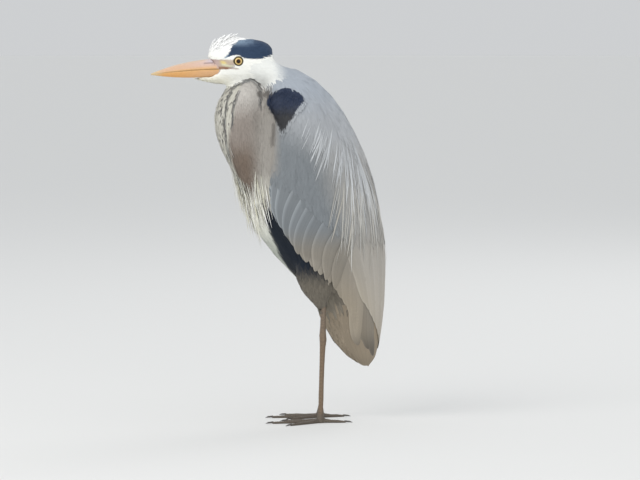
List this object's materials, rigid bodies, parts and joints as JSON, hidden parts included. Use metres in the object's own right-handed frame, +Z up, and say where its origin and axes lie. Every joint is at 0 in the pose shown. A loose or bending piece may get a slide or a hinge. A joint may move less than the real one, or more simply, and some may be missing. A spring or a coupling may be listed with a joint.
{
  "type": "grey heron",
  "caption": "Life-size standing grey heron with folded neck, closed wings, long pointed bill and bare legs, a still display model.",
  "frame": {"origin": "middle of the bird's footprint box, on the floor under its soles", "axes": "+Z up, the bird faces -Y, its left side is +X"},
  "size_m": [0.1838, 0.411, 0.6741],
  "materials": {
    "white_plumage": "matte white feathers of the head and nape",
    "neck_plumage": "soft mauve-grey neck feathers with dark streaks in front",
    "grey_plumage": "smooth blue-grey body and covert feathers",
    "flight_feathers": "slate-grey wing and tail feathers",
    "black_plumage": "blue-black crest and shoulder feathers with a faint gloss",
    "plumes": "long cream breast plumes",
    "bill": "horn, orange-yellow with a pinkish ridge, slightly glossy",
    "legs": "grey-brown scaled skin",
    "claws": "dark horn",
    "eyes": "glossy, yellow iris and black pupil"
  },
  "bodies": {
    "root": {"bill_lower": "bill", "bill_upper": "bill", "breast_plumes": "plumes", "claw_hind_left": "claws", "claw_hind_right": "claws", "claw_inner_left": "claws", "claw_inner_right": "claws", "claw_middle_left": "claws", "claw_middle_right": "claws", "claw_outer_left": "claws", "claw_outer_right": "claws", "crest": "black_plumage", "eye_left": "eyes", "eye_right": "eyes", "head": "white_plumage", "neck_fold": "neck_plumage", "neck_upper": "white_plumage", "shoulder_left": "black_plumage", "shoulder_right": "black_plumage", "tail": "flight_feathers", "tarsus_left": "legs", "tarsus_right": "legs", "thigh_left": "grey_plumage", "thigh_right": "grey_plumage", "tibia_left": "legs", "tibia_right": "legs", "toe_hind_left": "legs", "toe_hind_right": "legs", "toe_inner_left": "legs", "toe_inner_right": "legs", "toe_middle_left": "legs", "toe_middle_right": "legs", "toe_outer_left": "legs", "toe_outer_right": "legs", "trunk": "grey_plumage", "wing_left_coverts": "grey_plumage", "wing_left_primaries": "flight_feathers", "wing_left_secondaries": "grey_plumage", "wing_right_coverts": "grey_plumage", "wing_right_primaries": "flight_feathers", "wing_right_secondaries": "grey_plumage"}
  },
  "joints": []
}
